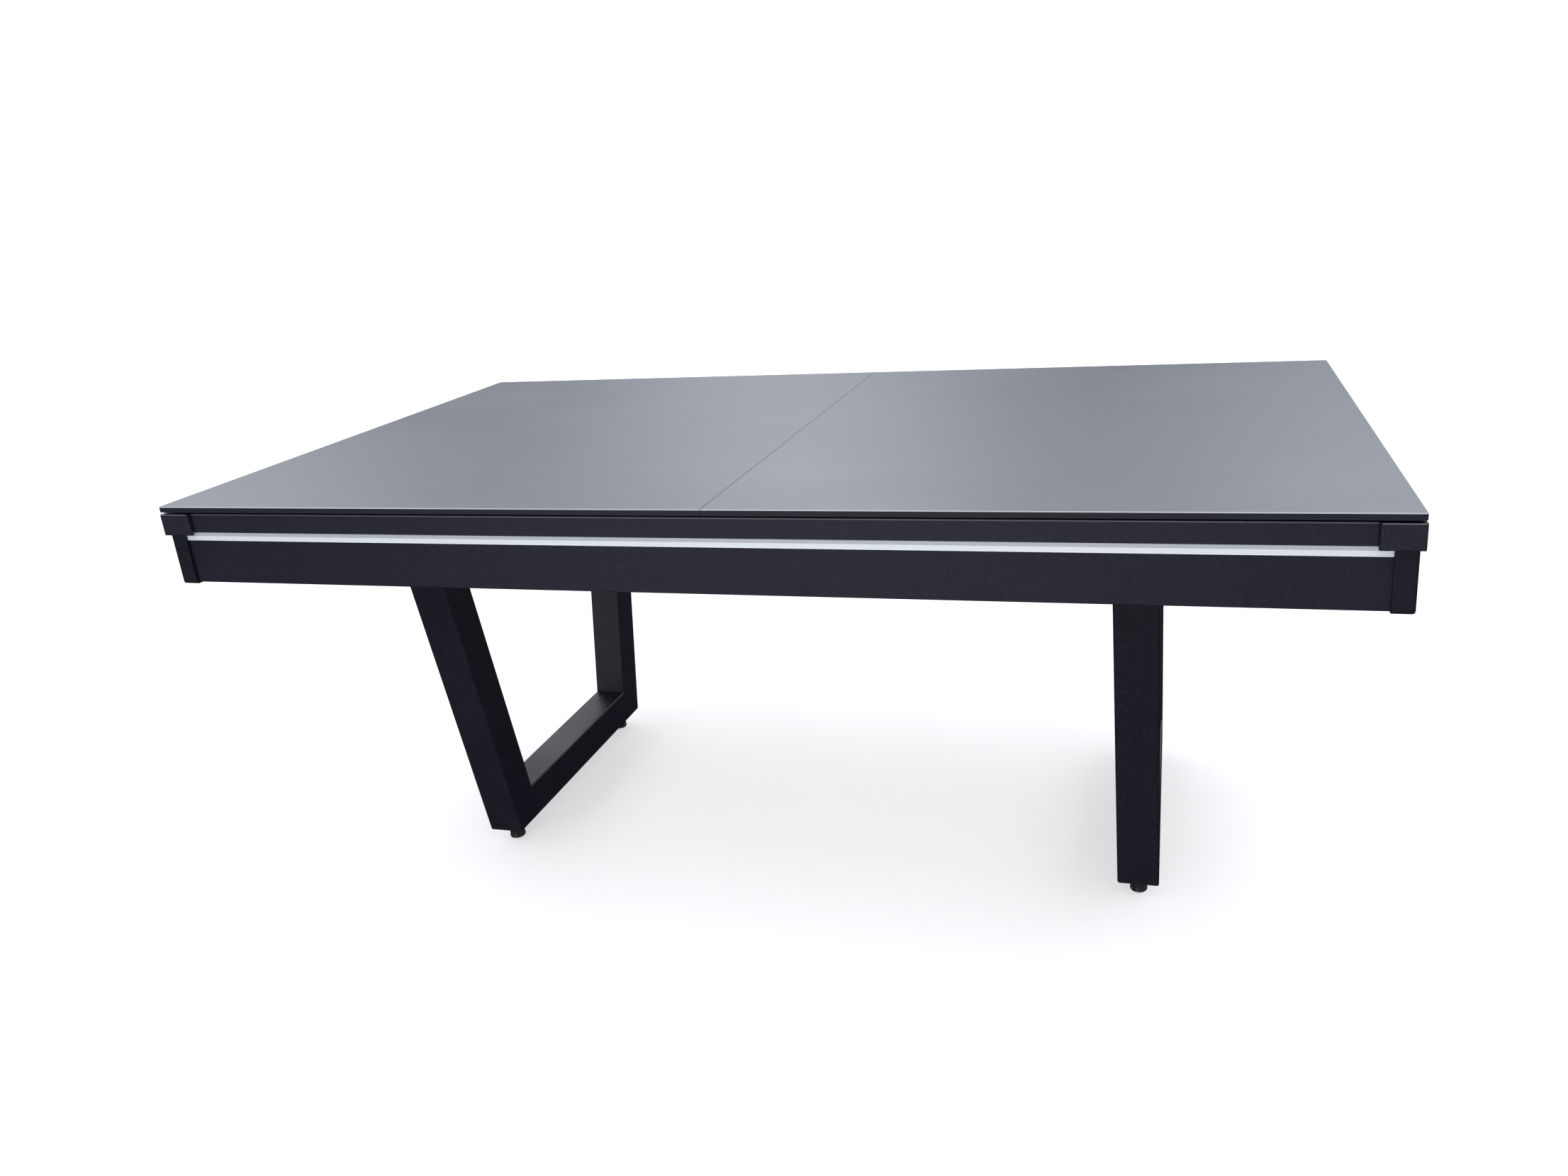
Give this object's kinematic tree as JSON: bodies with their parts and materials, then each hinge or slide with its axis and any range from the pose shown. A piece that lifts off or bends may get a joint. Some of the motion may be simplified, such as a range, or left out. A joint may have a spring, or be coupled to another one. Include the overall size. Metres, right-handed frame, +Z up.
{
  "type": "pool table",
  "caption": "Convertible dining pool table: slate bed with drop pockets under a two-part lift-off grey top, slim dark cabinet with a silver trim strip, trapezoid loop legs on levelling feet.",
  "frame": {"origin": "on the floor, under the middle of the table", "axes": "+X along the length to the right, +Y across the width to the back, +Z up"},
  "size_m": [1.942, 1.072, 0.785],
  "materials": {
    "laminate_top": "satin grey compact laminate",
    "felt_pad": "dense felt",
    "slate": "honed slate",
    "bed_cloth": "woven wool billiard cloth",
    "cushion_cloth": "cloth-covered cushion rubber",
    "sight": "polished pearl",
    "bolt_steel": "zinc-plated steel",
    "rail_lacquer": "satin blue-black lacquer on board",
    "cap_lacquer": "satin blue-black paint on cast alloy",
    "post_lacquer": "satin blue-black lacquer on hardwood",
    "trim_metal": "satin anodised",
    "frame_timber": "planed pine",
    "apron_lacquer": "satin blue-black lacquer on board",
    "pocket_plastic": "moulded black plastic",
    "leg_paint": "satin black powder coat",
    "insert_steel": "blackened steel",
    "foot_steel": "blackened steel"
  },
  "bodies": {
    "table": {"slate_bed": "slate", "bed_cloth": "bed_cloth", "rail_front": "rail_lacquer", "rail_back": "rail_lacquer", "rail_left": "rail_lacquer", "rail_right": "rail_lacquer", "cushion_front_left": "cushion_cloth", "cushion_front_right": "cushion_cloth", "cushion_back_left": "cushion_cloth", "cushion_back_right": "cushion_cloth", "cushion_left": "cushion_cloth", "cushion_right": "cushion_cloth", "corner_cap_front_left": "cap_lacquer", "corner_cap_front_right": "cap_lacquer", "corner_cap_back_left": "cap_lacquer", "corner_cap_back_right": "cap_lacquer", "trim_front": "trim_metal", "trim_back": "trim_metal", "trim_left": "trim_metal", "trim_right": "trim_metal", "apron_front": "apron_lacquer", "apron_back": "apron_lacquer", "apron_left": "apron_lacquer", "apron_right": "apron_lacquer", "corner_post_front_left": "post_lacquer", "corner_post_front_right": "post_lacquer", "corner_post_back_left": "post_lacquer", "corner_post_back_right": "post_lacquer", "pocket_cup_front_left": "pocket_plastic", "pocket_cup_front_middle": "pocket_plastic", "pocket_cup_front_right": "pocket_plastic", "pocket_cup_back_left": "pocket_plastic", "pocket_cup_back_middle": "pocket_plastic", "pocket_cup_back_right": "pocket_plastic", "rail_sights": "sight", "rail_bolts": "bolt_steel", "bed_beam_front": "frame_timber", "bed_beam_back": "frame_timber", "cross_members": "frame_timber", "end_members": "frame_timber", "apron_blocks": "frame_timber", "leg_left_front": "leg_paint", "leg_left_back": "leg_paint", "leg_left_bar": "leg_paint", "leg_left_plate": "leg_paint", "leg_right_front": "leg_paint", "leg_right_back": "leg_paint", "leg_right_bar": "leg_paint", "leg_right_plate": "leg_paint", "leg_bolts": "bolt_steel", "foot_inserts": "insert_steel"},
    "dining_top_left": {"dining_top_left": "laminate_top", "top_pads_left": "felt_pad"},
    "dining_top_right": {"dining_top_right": "laminate_top", "top_pads_right": "felt_pad"},
    "foot_front_left": {"foot_front_left": "foot_steel"},
    "foot_front_right": {"foot_front_right": "foot_steel"},
    "foot_back_left": {"foot_back_left": "foot_steel"},
    "foot_back_right": {"foot_back_right": "foot_steel"}
  },
  "joints": [
    {"name": "dining_top_left_lift", "type": "slide", "parent": "table", "child": "dining_top_left", "axis": [0, 0, 1], "range_m": [0, 0.3]},
    {"name": "dining_top_right_lift", "type": "slide", "parent": "table", "child": "dining_top_right", "axis": [0, 0, 1], "range_m": [0, 0.3]},
    {"name": "foot_front_left_screw", "type": "slide", "parent": "table", "child": "foot_front_left", "axis": [0, 0, 1], "range_m": [-0.02, 0.002]},
    {"name": "foot_front_right_screw", "type": "slide", "parent": "table", "child": "foot_front_right", "axis": [0, 0, 1], "range_m": [-0.02, 0.002]},
    {"name": "foot_back_left_screw", "type": "slide", "parent": "table", "child": "foot_back_left", "axis": [0, 0, 1], "range_m": [-0.02, 0.002]},
    {"name": "foot_back_right_screw", "type": "slide", "parent": "table", "child": "foot_back_right", "axis": [0, 0, 1], "range_m": [-0.02, 0.002]}
  ]
}
